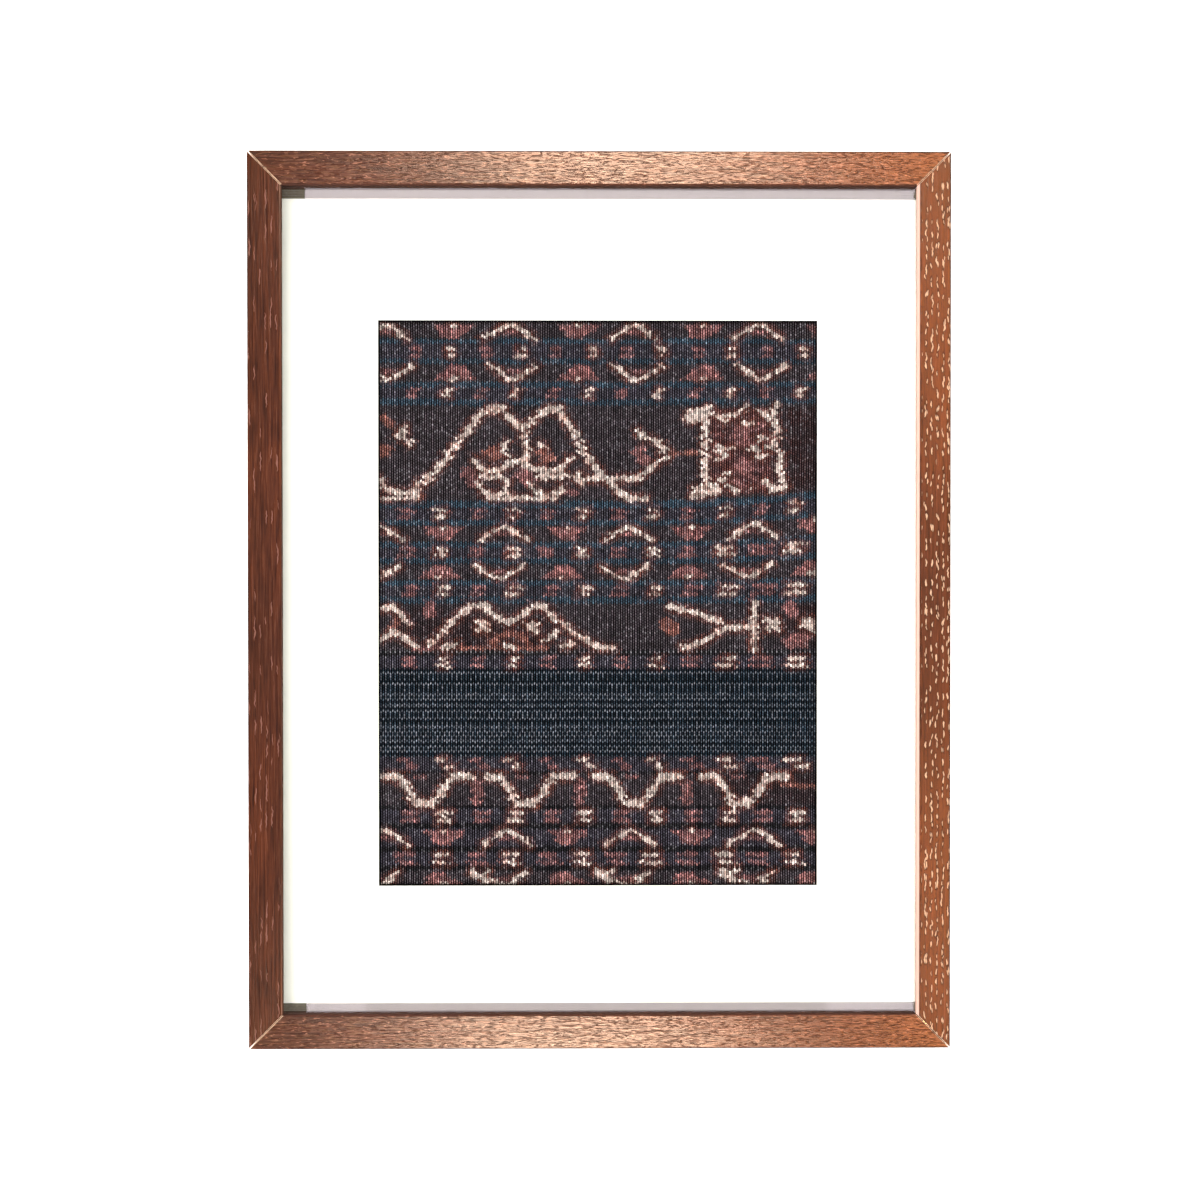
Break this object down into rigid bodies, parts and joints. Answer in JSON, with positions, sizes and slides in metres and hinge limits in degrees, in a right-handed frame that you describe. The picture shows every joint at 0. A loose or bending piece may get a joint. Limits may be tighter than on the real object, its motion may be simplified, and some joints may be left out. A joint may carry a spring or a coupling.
{
  "type": "framed ikat textile in a wooden picture frame",
  "caption": "Handwoven ikat cloth with banded zigzag, arch and dash motifs behind a white window mat, in a deep mitred wooden frame with clear glazing.",
  "frame": {"origin": "centre of the frame's flat back, on the surface it lies on", "axes": "+Z out of the picture, away from the surface; +Y towards the picture's top; +X to the right as seen from the front"},
  "size_m": [0.298, 0.3804, 0.0271],
  "materials": {
    "rail_wood": "embossed oak-like grain, satin reddish brown",
    "clear_glazing": "clear, polished",
    "grey_card": "matt grey card strip",
    "white_board": "matt white paper board",
    "ikat_cloth": "ribbed handspun cotton, resist dyed in dark brown, indigo, cream and terracotta",
    "brown_board": "plain matt fibreboard"
  },
  "bodies": {
    "root": {"rail_top": "rail_wood", "rail_bottom": "rail_wood", "rail_left": "rail_wood", "rail_right": "rail_wood", "glazing": "clear_glazing", "spacer_top": "grey_card", "spacer_bottom": "grey_card", "spacer_left": "grey_card", "spacer_right": "grey_card", "mat": "white_board", "textile": "ikat_cloth", "backing": "brown_board"}
  },
  "joints": []
}
